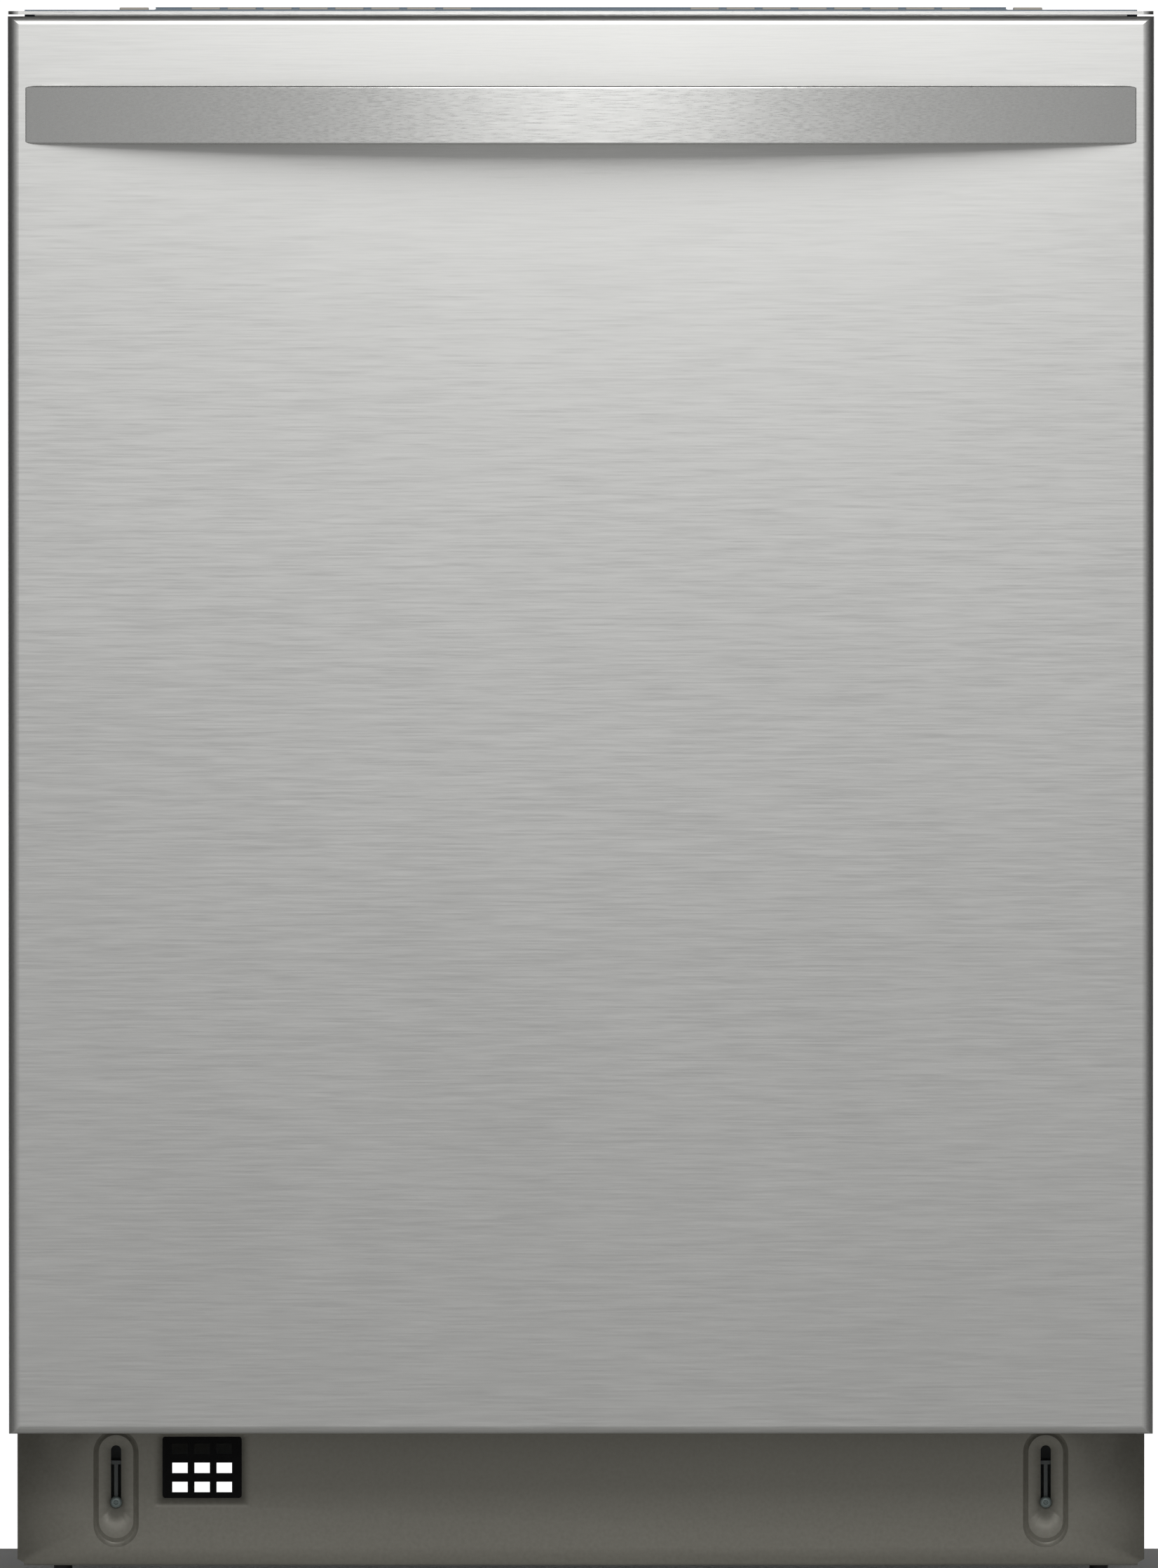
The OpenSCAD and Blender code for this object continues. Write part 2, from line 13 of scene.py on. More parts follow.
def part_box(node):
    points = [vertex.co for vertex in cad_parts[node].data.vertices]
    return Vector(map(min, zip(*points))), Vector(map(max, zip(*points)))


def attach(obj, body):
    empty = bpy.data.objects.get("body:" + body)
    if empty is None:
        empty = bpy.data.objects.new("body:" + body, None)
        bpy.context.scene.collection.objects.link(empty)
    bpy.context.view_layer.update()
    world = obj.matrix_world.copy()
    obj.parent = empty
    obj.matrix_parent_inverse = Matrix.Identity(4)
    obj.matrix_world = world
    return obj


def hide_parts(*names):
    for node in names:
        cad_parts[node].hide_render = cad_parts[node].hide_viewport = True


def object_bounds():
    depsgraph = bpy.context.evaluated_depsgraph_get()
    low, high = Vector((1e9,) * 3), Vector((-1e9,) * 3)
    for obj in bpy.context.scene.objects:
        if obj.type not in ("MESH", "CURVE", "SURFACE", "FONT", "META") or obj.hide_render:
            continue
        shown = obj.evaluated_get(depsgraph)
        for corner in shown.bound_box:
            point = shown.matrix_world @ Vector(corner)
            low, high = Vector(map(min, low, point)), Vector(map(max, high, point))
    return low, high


log = logging.getLogger("dishwasher")
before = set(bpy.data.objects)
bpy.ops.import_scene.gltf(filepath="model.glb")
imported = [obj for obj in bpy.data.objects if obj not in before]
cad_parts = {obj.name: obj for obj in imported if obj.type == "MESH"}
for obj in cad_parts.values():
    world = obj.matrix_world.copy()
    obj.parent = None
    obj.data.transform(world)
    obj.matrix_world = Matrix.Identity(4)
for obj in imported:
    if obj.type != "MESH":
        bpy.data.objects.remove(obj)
CAD_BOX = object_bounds()
MM = 0.001
# Edges that turn by more than this stay sharp, and softened edges are this finely rounded.
SHARP_DEGREES = 35
BEVEL_SEGMENTS = 3
# Facets in each bend of a wire.
BEND_FACETS = 5
Point = tuple[float, float, float]
Point2 = tuple[float, float]
Outline = list[Point2]
Colour = tuple[float, float, float, float]


def linear(hex_colour: str) -> Colour:
    """Turn an sRGB hex colour into linear RGBA.

    Args:
        hex_colour: The colour as "#rrggbb".

    Returns:
        Red, green, blue and an alpha of one, in linear light.
    """
    values = [int(hex_colour[i:i + 2], 16) / 255 for i in (1, 3, 5)]
    curve = [v / 12.92 if v <= 0.04045 else ((v + 0.055) / 1.055) ** 2.4 for v in values]
    return (*curve, 1.0)


def add_node(tree: bpy.types.NodeTree, kind: str, inputs: dict | None = None,
             **settings: object) -> bpy.types.Node:
    """Add a node with its settings and its inputs.

    Args:
        tree: The tree that the node joins.
        kind: Blender's name for the node.
        inputs: Values, or output sockets to link, by input name or number.
        **settings: Properties of the node.

    Returns:
        The new node.
    """
    node = tree.nodes.new(kind)
    for name, value in settings.items():
        setattr(node, name, value)
    for name, value in (inputs or {}).items():
        if isinstance(value, bpy.types.NodeSocket):
            tree.links.new(value, node.inputs[name])
        else:
            node.inputs[name].default_value = value
    return node


class Grain(Enum):
    """Direction in which a surface was brushed or rolled."""

    ALONG_X = (0.03, 1.0, 1.0)
    ALONG_Y = (1.0, 0.03, 1.0)
    ALONG_Z = (1.0, 1.0, 0.03)
    EVEN = (1.0, 1.0, 1.0)


@dataclass(frozen=True)
class Finish:
    """A real finish: two close colours mixed by a pattern, with matching gloss and relief."""

    name: str
    slot: str
    light: str
    dark: str
    roughness: float
    metallic: float = 0.0
    pattern_mm: float = 1.0
    relief_mm: float = 0.02
    grain: Grain = Grain.EVEN
    roughness_spread: float = 0.06
    anisotropic: float = 0.0
    coat: float = 0.0
    sheen: float = 0.0
    specular: float = 0.5

    def material(self) -> bpy.types.Material:
        """Make the material on the first call, and find it again later.

        Returns:
            The material of this finish.
        """
        made = bpy.data.materials.get(self.name)
        if made is None:
            made = bpy.data.materials.new(self.name)
            made.use_nodes = True
            self._build(made.node_tree)
        return made

    def _build(self, tree: bpy.types.NodeTree) -> None:
        """Fill the material's node tree.

        Args:
            tree: The empty tree of the new material.
        """
        tree.nodes.clear()
        place = add_node(tree, "ShaderNodeTexCoord").outputs["Object"]
        stretched = add_node(tree, "ShaderNodeMapping", {"Vector": place, "Scale": self.grain.value})
        # One noise cell is about one scale unit, so the scale is cells to the metre.
        fine = add_node(tree, "ShaderNodeTexNoise", {
            "Vector": stretched.outputs["Vector"], "Scale": 1.0 / (self.pattern_mm * MM),
            "Detail": 3.0, "Roughness": 0.6})
        cloud = add_node(tree, "ShaderNodeTexNoise", {"Vector": place, "Scale": 9.0, "Detail": 2.0})
        blend = add_node(tree, "ShaderNodeMath", {
            0: cloud.outputs["Fac"], 1: 0.25, 2: fine.outputs["Fac"]}, operation="MULTIPLY_ADD")
        tone = add_node(tree, "ShaderNodeMapRange", {
            "Value": blend.outputs["Value"], "From Min": 0.35, "From Max": 0.9})
        colour = add_node(tree, "ShaderNodeMix", {
            0: tone.outputs["Result"], 6: linear(self.dark), 7: linear(self.light)}, data_type="RGBA")
        gloss = add_node(tree, "ShaderNodeMapRange", {
            "Value": fine.outputs["Fac"], "From Min": 0.3, "From Max": 0.7,
            "To Min": max(self.roughness - self.roughness_spread, 0.02),
            "To Max": self.roughness + self.roughness_spread})
        bump = add_node(tree, "ShaderNodeBump", {
            "Height": fine.outputs["Fac"], "Distance": self.relief_mm * MM, "Strength": 1.0})
        shader = add_node(tree, "ShaderNodeBsdfPrincipled", {
            "Base Color": colour.outputs[2], "Roughness": gloss.outputs["Result"],
            "Normal": bump.outputs["Normal"]})
        shader.inputs["Metallic"].default_value = self.metallic
        shader.inputs["Specular IOR Level"].default_value = self.specular
        shader.inputs["Anisotropic"].default_value = self.anisotropic
        shader.inputs["Coat Weight"].default_value = self.coat
        shader.inputs["Sheen Weight"].default_value = self.sheen
        out = add_node(tree, "ShaderNodeOutputMaterial", {"Surface": shader.outputs["BSDF"]})
        out.location = (600, 0)


# Brushed stainless sheet: long fine scratches side to side, which spread reflections up and down.
DOOR_STEEL = Finish("brushed_stainless_sheet", "brushed_stainless", "#cdcdcb", "#bebebc", 0.42,
                    metallic=1.0, pattern_mm=0.9, relief_mm=0.003, grain=Grain.ALONG_X)
# Brushed bar: the same scratches, polished a little brighter.
BAR_STEEL = Finish("brushed_stainless_bar", "brushed_stainless", "#cfcfcd", "#c6c6c4", 0.3,
                   metallic=1.0, pattern_mm=0.5, relief_mm=0.0006, grain=Grain.ALONG_X)
# Rolled stainless sheet of the tub: smooth, with a cloudy mirror.
TUB_STEEL = Finish("rolled_stainless_sheet", "inner_stainless", "#c9cbcc", "#b9bbbd", 0.22,
                   metallic=1.0, pattern_mm=1.4, relief_mm=0.003, grain=Grain.ALONG_Z)
# ABS moulding of the console: blue-grey and fine-grained.
CONSOLE_ABS = Finish("moulded_blue_grey_abs", "console_plastic", "#7f8b95", "#727d87", 0.7,
                     pattern_mm=0.8, relief_mm=0.01, specular=0.08)
# Key caps: moulded, then sprayed with warm silver lacquer.
KEY_PAINT = Finish("silver_lacquered_abs", "key_plastic", "#b4aea4", "#a59f96", 0.6,
                   metallic=0.2, pattern_mm=0.5, relief_mm=0.004, specular=0.1)
BLACK_PP = Finish("moulded_black_polypropylene", "dark_plastic", "#1c1c1e", "#131315", 0.5,
                  pattern_mm=0.9, relief_mm=0.015)
# Grille: the same plastic, matt, with its colour darkened as painted shade for the deep shade of the vent.
SHADE_DARKENED_GRILLE_PP = Finish("shade_darkened_black_polypropylene", "dark_plastic", "#0d0d0e", "#080809", 0.7,
                   pattern_mm=0.9, relief_mm=0.015, specular=0.15)
GREY_PP = Finish("moulded_grey_polypropylene", "grey_plastic", "#8c9196", "#7d8287", 0.42,
                 pattern_mm=0.9, relief_mm=0.012)
BLUE_PP = Finish("moulded_blue_polypropylene", "blue_plastic", "#2f5c9e", "#27508e", 0.34,
                 pattern_mm=0.9, relief_mm=0.01)
WHITE_PP = Finish("moulded_white_polypropylene", "white_plastic", "#e6e6e0", "#d8d8d2", 0.4,
                  pattern_mm=0.9, relief_mm=0.01)
# Kick plate: satin grey paint over rolled steel, with a soft orange-peel skin.
KICK_PAINT = Finish("satin_grey_painted_steel", "kick_paint", "#8e8c82", "#827f76", 0.42,
                    metallic=0.25, pattern_mm=2.2, relief_mm=0.012)
# Zinc-plated pressings: cold grey with a coarse spangle.
ZINC = Finish("zinc_plated_steel", "zinc_plate", "#b4b8b8", "#8f9494", 0.38,
              metallic=0.9, pattern_mm=6.0, relief_mm=0.01)
SEAL = Finish("extruded_epdm_rubber", "rubber_seal", "#202021", "#171718", 0.6,
              pattern_mm=0.8, relief_mm=0.02)
# Pressed cotton felt with fibres a fraction of a millimetre thick, drawn coarser so that they show.
FELT = Finish("pressed_grey_felt", "felt_blanket", "#54575a", "#33363a", 0.95,
              pattern_mm=2.0, relief_mm=0.6, sheen=0.3)
# Nylon powder melted on steel wire: soft gloss.
NYLON = Finish("nylon_coated_wire", "rack_coating", "#88929c", "#7b858f", 0.35,
               pattern_mm=1.5, relief_mm=0.01)
# Screws: zinc with a dulled passivated skin.
SCREW_ZINC = Finish("passivated_zinc_screw", "zinc_plate", "#8f9a99", "#7a8584", 0.5,
                    metallic=0.8, pattern_mm=0.6, relief_mm=0.004)
# Galvanised sheet of the base, dull, with its colour darkened as painted shade where it shows in shadow
# behind the kick plate.
SHADE_DARKENED_ZINC = Finish("shade_darkened_galvanised_steel", "zinc_plate", "#5f6262", "#4b4e4e", 0.5,
                   metallic=0.7, pattern_mm=6.0, relief_mm=0.01)
BRASS = Finish("turned_brass", "valve_brass", "#b8985c", "#a6864c", 0.3,
               metallic=1.0, pattern_mm=0.8, relief_mm=0.006)

CAD_FINISHES: dict[str, Finish] = {
    "door_skin": DOOR_STEEL, "trim_strip": BAR_STEEL, "door_liner": TUB_STEEL, "tub_shell": TUB_STEEL,
    "tub_frame": TUB_STEEL, "heating_element": TUB_STEEL, "rack_rails": TUB_STEEL, "console": CONSOLE_ABS,
    "door_latch": BLACK_PP, "dispenser": BLACK_PP, "sump": BLACK_PP, "circulation_pump": BLACK_PP,
    "levelling_feet": BLACK_PP, "detergent_lid": GREY_PP, "drain_pump": GREY_PP, "feed_pipe": GREY_PP,
    "float": WHITE_PP, "rinse_cap": BLUE_PP, "hinge_arms": ZINC, "base_frame": SHADE_DARKENED_ZINC,
    "worktop_brackets": ZINC, "junction_box": ZINC, "door_gasket": SEAL, "insulation_blanket": FELT,
    "inlet_valve": BRASS}


def dress_cad_nodes() -> None:
    """Give each CAD node its finish, and grey polypropylene to those that are replaced later."""
    for name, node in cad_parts.items():
        finish = CAD_FINISHES.get(name, GREY_PP)
        node.data.materials.clear()
        node.data.materials.append(finish.material())


@dataclass
class Shape:
    """Collects the closed forms of one piece, in metres, and turns them into an object."""

    mesh: bmesh.types.BMesh = field(default_factory=bmesh.new)

    def box(self, low: Point, high: Point) -> None:
        """Add a block between two corners.

        Args:
            low: The corner with the lowest x, y and z.
            high: The corner with the highest x, y and z.
        """
        size = [h - l for l, h in zip(low, high)]
        centre = [(h + l) / 2 for l, h in zip(low, high)]
        bmesh.ops.create_cube(self.mesh, size=1.0,
                              matrix=Matrix.Translation(centre) @ Matrix.Diagonal((*size, 1.0)))

    def lathe(self, centre: Point, axis: Point, profile: Outline, steps: int = 40) -> None:
        """Add a turned form.

        Args:
            centre: Where the axis starts.
            axis: Direction of the axis.
            profile: Radius and distance along the axis of each point, as a closed outline.
            steps: Sides round the axis.
        """
        turn = Vector((0, 0, 1)).rotation_difference(Vector(axis)).to_matrix()
        rings = []
        for k in range(steps):
            angle = math.tau * k / steps
            rings.append([
                self.mesh.verts.new(Vector(centre) + turn @ Vector(
                    (r * math.cos(angle), r * math.sin(angle), h)))
                for r, h in profile])
        count = len(profile)
        for k in range(steps):
            a, b = rings[k], rings[(k + 1) % steps]
            for i in range(count):
                j = (i + 1) % count
                self.mesh.faces.new((a[i], b[i], b[j], a[j]))

    def rod(self, start: Point, end: Point, radius: float, sides: int = 20) -> None:
        """Add a straight round rod between two points.

        Args:
            start: Middle of one end.
            end: Middle of the other end.
            radius: Radius of the rod.
            sides: Flat sides round the rod.
        """
        length = (Vector(end) - Vector(start)).length
        tiny = radius * 0.02
        self.lathe(start, tuple(Vector(end) - Vector(start)),
                   [(tiny, 0.0), (radius, 0.0), (radius, length), (tiny, length)], sides)

    def prism(self, outline: Outline, low: float, high: float) -> None:
        """Add an upright prism.

        Args:
            outline: Its corners in x and y.
            low: Height of its foot.
            high: Height of its top.
        """
        bottom = [self.mesh.verts.new((x, y, low)) for x, y in outline]
        top = [self.mesh.verts.new((x, y, high)) for x, y in outline]
        self.mesh.faces.new(bottom)
        self.mesh.faces.new(top)
        for i in range(len(outline)):
            j = (i + 1) % len(outline)
            self.mesh.faces.new((bottom[i], bottom[j], top[j], top[i]))

    def to_object(self, name: str, finish: Finish, bevel_mm: float = 0.0) -> bpy.types.Object:
        """Make the object, with true normals, smooth curves and softened edges.

        Args:
            name: Name of the object and of its mesh.
            finish: Its finish.
            bevel_mm: Width of its softened edges in millimetres, or 0 for none.

        Returns:
            The object, at the origin.
        """
        bmesh.ops.recalc_face_normals(self.mesh, faces=self.mesh.faces)
        data = bpy.data.meshes.new(name)
        self.mesh.to_mesh(data)
        self.mesh.free()
        data.polygons.foreach_set("use_smooth", [True] * len(data.polygons))
        data.set_sharp_from_angle(angle=math.radians(SHARP_DEGREES))
        data.materials.append(finish.material())
        piece = bpy.data.objects.new(name, data)
        bpy.context.scene.collection.objects.link(piece)
        if bevel_mm:
            bevel = piece.modifiers.new("edge", "BEVEL")
            bevel.width = bevel_mm * MM
            bevel.segments = BEVEL_SEGMENTS
            bevel.limit_method = "ANGLE"
            bevel.harden_normals = True
        return piece


def place_piece(piece: bpy.types.Object, body: str, finish: Finish, *nodes: str) -> bpy.types.Object:
    """Put a finished piece on its body, in the place of its CAD nodes.

    Args:
        piece: The finished piece.
        body: The body that carries it.
        finish: Its finish, which names its slot; it is not used.
        *nodes: The CAD nodes that it stands in for.

    Returns:
        The same piece.
    """
    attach(piece, body)
    if nodes:
        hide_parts(*nodes)
    log.info("%s rides on %s", piece.name, body)
    return piece


@dataclass
class WireTree:
    """Geometry Nodes tree that bends round wire along the edges of a mesh."""

    name: str = "bent_wire"

    def build(self) -> bpy.types.NodeTree:
        """Make the tree on the first call, and find it again later.

        Returns:
            The tree, with inputs for the wire's radius, bends, sides and finish.
        """
        tree = bpy.data.node_groups.get(self.name)
        if tree is not None:
            return tree
        tree = bpy.data.node_groups.new(self.name, "GeometryNodeTree")
        face = tree.interface
        face.new_socket("Geometry", in_out="INPUT", socket_type="NodeSocketGeometry")
        face.new_socket("Wire radius", in_out="INPUT", socket_type="NodeSocketFloat")
        face.new_socket("Bend radius", in_out="INPUT", socket_type="NodeSocketFloat")
        face.new_socket("Sides", in_out="INPUT", socket_type="NodeSocketInt")
        face.new_socket("Finish", in_out="INPUT", socket_type="NodeSocketMaterial")
        face.new_socket("Geometry", in_out="OUTPUT", socket_type="NodeSocketGeometry")
        given = add_node(tree, "NodeGroupInput").outputs
        curve = add_node(tree, "GeometryNodeMeshToCurve", {"Mesh": given["Geometry"]})
        bent = add_node(tree, "GeometryNodeFilletCurve", {
            "Curve": curve.outputs[0], "Radius": given["Bend radius"], "Limit Radius": True})
        bent.mode = "POLY"
        bent.inputs["Count"].default_value = BEND_FACETS
        ring = add_node(tree, "GeometryNodeCurvePrimitiveCircle", {
            "Resolution": given["Sides"], "Radius": given["Wire radius"]})
        solid = add_node(tree, "GeometryNodeCurveToMesh", {
            "Curve": bent.outputs["Curve"], "Profile Curve": ring.outputs["Curve"], "Fill Caps": True})
        smooth = add_node(tree, "GeometryNodeSetShadeSmooth", {"Geometry": solid.outputs["Mesh"]})
        real = add_node(tree, "GeometryNodeRealizeInstances", {"Geometry": smooth.outputs[0]})
        painted = add_node(tree, "GeometryNodeSetMaterial", {
            "Geometry": real.outputs["Geometry"], "Material": given["Finish"]})
        add_node(tree, "NodeGroupOutput", {"Geometry": painted.outputs["Geometry"]})
        return tree


@dataclass
class WireWork:
    """Lines of round wire that belong to one piece."""

    radius: float
    bend: float = 0.0
    sides: int = 8
    lines: list[list[Point]] = field(default_factory=list)

    def line(self, *points: Point) -> None:
        """Add one bent wire."""
        self.lines.append(list(points))

    def loop(self, x0: float, x1: float, y0: float, y1: float, z: float) -> None:
        """Add a level rim that closes behind its middle.

        Args:
            x0: Left side.
            x1: Right side.
            y0: Front.
            y1: Back.
            z: Height.
        """
        mid = (x0 + x1) / 2
        self.line((mid, y1, z), (x0, y1, z), (x0, y0, z), (x1, y0, z), (x1, y1, z), (mid, y1, z))

    def bake(self, name: str, finish: Finish) -> bpy.types.Object:
        """Run the wire tree on the lines, and keep its result as a plain mesh.

        Args:
            name: Name of the object.
            finish: Finish of the wire.

        Returns:
            The object, at the origin, without its modifier.
        """
        verts, edges = [], []
        for points in self.lines:
            start = len(verts)
            verts += points
            edges += [(start + i, start + i + 1) for i in range(len(points) - 1)]
        data = bpy.data.meshes.new(name + "_lines")
        data.from_pydata(verts, edges, [])
        source = bpy.data.objects.new(name, data)
        bpy.context.scene.collection.objects.link(source)
        tree = WireTree().build()
        modifier = source.modifiers.new("wire", "NODES")
        modifier.node_group = tree
        wanted = {"Wire radius": self.radius, "Bend radius": self.bend, "Sides": self.sides,
                  "Finish": finish.material()}
        for item in tree.interface.items_tree:
            if item.in_out == "INPUT" and item.name in wanted:
                modifier[item.identifier] = wanted[item.name]
        ready = source.evaluated_get(bpy.context.evaluated_depsgraph_get())
        solid = bpy.data.meshes.new_from_object(ready)
        source.modifiers.remove(modifier)
        source.data = solid
        if not solid.materials:
            solid.materials.append(finish.material())
        return source


def arc(centre: Point2, radius: float, start: float, end: float, steps: int) -> Outline:
    """Find the points of an arc.

    Args:
        centre: Its centre.
        radius: Its radius.
        start: Its first angle in degrees.
        end: Its last angle in degrees.
        steps: Chords between the two.

    Returns:
        One point more than there are chords.
    """
    angles = [math.radians(start + (end - start) * i / steps) for i in range(steps + 1)]
    return [(centre[0] + radius * math.cos(a), centre[1] + radius * math.sin(a)) for a in angles]


def racetrack(x: float, low: float, high: float, radius: float, steps: int = 16) -> Outline:
    """Draw an upright slot with round ends.

    Args:
        x: Its middle line.
        low: Its lowest point.
        high: Its highest point.
        radius: Radius of its ends.
        steps: Chords in each end.

    Returns:
        The closed outline.
    """
    return (arc((x, high - radius), radius, 0, 180, steps)
            + arc((x, low + radius), radius, 180, 360, steps))


def in_metres(profile_mm: tuple[Point2, ...]) -> Outline:
    """Turn a profile of radii and distances from millimetres into metres."""
    return [(radius * MM, along * MM) for radius, along in profile_mm]


@dataclass
class FrontDoor:
    """The parts of the door that are refined: handle bar and key caps."""

    handle_wall: float = 5 * MM
    handle_edge_mm: float = 1.4
    arc_steps: int = 72
    key_edge_mm: float = 0.5
    key_stem_height: float = 6 * MM
    key_stem_half: float = 3 * MM
    key_stem_front: float = 4 * MM
    key_stem_back: float = 10 * MM

    def handle(self) -> None:
        """Make the arched flat bar, whose ends run into the door."""
        low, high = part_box("door_handle")
        half, bow = (high[0] - low[0]) / 2, high[1] - low[1]
        radius = (half ** 2 + bow ** 2) / (2 * bow)
        centre = (0.0, low[1] + radius)
        inner = radius - self.handle_wall
        outer_angle = math.degrees(math.asin(half / radius))
        inner_angle = math.degrees(math.acos((radius - bow) / inner))
        outline = (arc(centre, radius, 270 - outer_angle, 270 + outer_angle, self.arc_steps)
                   + arc(centre, inner, 270 + inner_angle, 270 - inner_angle, self.arc_steps))
        shape = Shape()
        shape.prism(outline, low[2], high[2])
        place_piece(shape.to_object("handle_bar", BAR_STEEL, self.handle_edge_mm), "door", BAR_STEEL,
                    "door_handle")

    def keys(self) -> None:
        """Make each key cap, with its softened edges and its stem."""
        for name in sorted(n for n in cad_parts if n.startswith("key_")):
            low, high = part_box(name)
            stem = low[2] + self.key_stem_height
            middle = (low[0] + high[0]) / 2
            shape = Shape()
            shape.box((low[0], low[1], stem), tuple(high))
            shape.box((middle - self.key_stem_half, low[1] + self.key_stem_front, low[2]),
                      (middle + self.key_stem_half, low[1] + self.key_stem_back, stem))
            place_piece(shape.to_object("cap_of_" + name, KEY_PAINT, self.key_edge_mm), name, KEY_PAINT,
                        name)

    def build(self) -> None:
        """Make every refined piece of the door."""
        self.handle()
        self.keys()


@dataclass
class KickPlate:
    """Pressed kick plate, its vent grille and its screws."""

    sheet: float = 1.2 * MM
    emboss_radius: float = 12.05 * MM
    island_radius: float = 9.2 * MM
    emboss_depth: float = 1.6 * MM
    emboss_rise: float = 9.7 * MM
    slot_radius: float = 2.7 * MM
    slot_height: float = 33 * MM
    vent_bevel: float = 5.3 * MM
    vent_depth: float = 4 * MM
    vent_sunk_share: float = 0.35
    vent_corner: float = 1.5 * MM
    grille_side_lap: float = 3 * MM
    grille_foot_lap: float = 4 * MM
    grille_bar: float = 3.6 * MM
    grille_end_bar: float = 4.5 * MM
    grille_pitch_x: float = 11.8 * MM
    grille_pitch_z: float = 10.2 * MM
    grille_opening: float = 5.6 * MM
    corner_cut: float = 3.5 * MM
    foot_turn: float = 1.5 * MM
    flange: float = 11 * MM
    # Share of the way across the groove, and share of its depth there.
    groove: tuple[Point2, ...] = ((0.0, 0.0), (0.3, 0.75), (0.5, 1.0), (0.7, 0.75), (1.0, 0.0))
    screw_head_radius_mm: float = 3.15
    # Radius and depth of the screw, from the middle of its face to the end of its shank.
    screw_profile_mm: tuple[Point2, ...] = (
        (0.05, 0.9), (1.1, 0.9), (1.3, 0.1), (2.1, 0.25), (2.9, 0.8), (3.15, 1.4), (3.15, 1.7), (2, 1.7),
        (2, 4), (0.05, 4))

    def __post_init__(self) -> None:
        """Read the plate's place and the screws' places from the frame."""
        self.low, self.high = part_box("kick_plate")
        self.screw_low, self.screw_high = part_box("kick_screws")
        self.slot_x = self.screw_high[0] - self.screw_head_radius_mm * MM
        self.screw_z = (self.screw_low[2] + self.screw_high[2]) / 2
        self.face = self.low[1]
        vent_low, vent_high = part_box("vent_grille")
        self.vent = (vent_low[0] + self.grille_side_lap, vent_high[0] - self.grille_side_lap)
        self.vent_z = vent_low[2] + self.grille_foot_lap

    def rim(self, mesh: bmesh.types.BMesh, outline: Outline, depth: float) -> list:
        """Add a closed ring of points behind the face.

        Args:
            mesh: The mesh that they join.
            outline: Their x and z.
            depth: Their distance behind the face.

        Returns:
            The points, in the outline's order.
        """
        return [mesh.verts.new((x, self.face + depth, z)) for x, z in outline]

    @staticmethod
    def edges(mesh: bmesh.types.BMesh, ring: list) -> list:
        """Join a ring's points with edges.

        Args:
            mesh: The mesh that holds them.
            ring: The points in order.

        Returns:
            The edges in the same order.
        """
        found = []
        for i, a in enumerate(ring):
            b = ring[(i + 1) % len(ring)]
            found.append(mesh.edges.get((a, b)) or mesh.edges.new((a, b)))
        return found

    @staticmethod
    def bridge(mesh: bmesh.types.BMesh, first: list, second: list) -> None:
        """Fill the band between two rings of the same count.

        Args:
            mesh: The mesh that holds them.
            first: Points of one ring.
            second: Points of the other ring.
        """
        for i in range(len(first)):
            j = (i + 1) % len(first)
            mesh.faces.new((first[i], first[j], second[j], second[i]))

    def vent_outline(self, grow: float) -> Outline:
        """Draw the vent opening with its corners rounded.

        Args:
            grow: How far it is moved outwards.

        Returns:
            The closed outline.
        """
        left, right = self.vent[0] - grow, self.vent[1] + grow
        low, high = self.vent_z - grow, self.high[2] - 5 * MM + min(grow, 3 * MM)
        r = self.vent_corner
        return (arc((right - r, high - r), r, 0, 90, 4) + arc((left + r, high - r), r, 90, 180, 4)
                + arc((left + r, low + r), r, 180, 270, 4) + arc((right - r, low + r), r, 270, 360, 4))

    def plate(self) -> None:
        """Make the sheet with its two embossed slots, its sunken vent and its bottom flange."""
        mesh = bmesh.new()
        top = self.high[2]
        x, bottom, cut = self.high[0], self.low[2], self.corner_cut
        outer = [(-x, top), (-x, bottom + cut), (-x + cut, bottom + self.foot_turn),
                 (x - cut, bottom + self.foot_turn), (x, bottom + cut), (x, top)]
        ring = self.rim(mesh, outer, 0.0)
        edges = self.edges(mesh, ring)
        islands = []
        for side in (-1, 1):
            centre = side * self.slot_x
            low = self.low[2] + self.emboss_rise
            bands = []
            for share, depth in self.groove:
                radius = self.emboss_radius + (self.island_radius - self.emboss_radius) * share
                inset = self.emboss_radius - radius
                outline = racetrack(centre, low + inset * 1.7, top - 1.2 * MM - inset, radius)
                bands.append(self.rim(mesh, outline, depth * self.emboss_depth))
            edges += self.edges(mesh, bands[0])
            for a, b in zip(bands, bands[1:]):
                self.bridge(mesh, a, b)
            foot = self.screw_z - self.slot_radius
            slot = self.rim(mesh, racetrack(centre, foot, foot + self.slot_height, self.slot_radius), 0.0)
            islands.append(self.edges(mesh, bands[-1]) + self.edges(mesh, slot))
        mouth = self.rim(mesh, self.vent_outline(self.vent_bevel), 0.0)
        sunk = self.rim(mesh, self.vent_outline(0.0), self.vent_depth * self.vent_sunk_share)
        edges += self.edges(mesh, mouth)
        self.bridge(mesh, mouth, sunk)
        bmesh.ops.triangle_fill(mesh, edges=edges, use_beauty=True)
        for island in islands:
            bmesh.ops.triangle_fill(mesh, edges=island, use_beauty=True)
        turn = [ring[2], ring[3]]
        for depth, drop in ((0.3 * MM, 0.9 * MM), (1.0 * MM, 1.4 * MM), (self.flange, self.foot_turn)):
            row = [mesh.verts.new((v, self.face + depth, bottom + self.foot_turn - drop))
                   for v in (-x + cut, x - cut)]
            mesh.faces.new((turn[0], turn[1], row[1], row[0]))
            turn = row
        piece = Shape(mesh).to_object("pressed_kick_plate", KICK_PAINT)
        # The face looks towards low y, so a positive sum means that the open sheet came out reversed.
        if sum(f.normal.y * f.area for f in piece.data.polygons) > 0:
            piece.data.flip_normals()
        thick = piece.modifiers.new("sheet", "SOLIDIFY")
        thick.thickness = self.sheet
        thick.offset = -1.0
        place_piece(piece, "kick_plate", KICK_PAINT, "kick_plate")

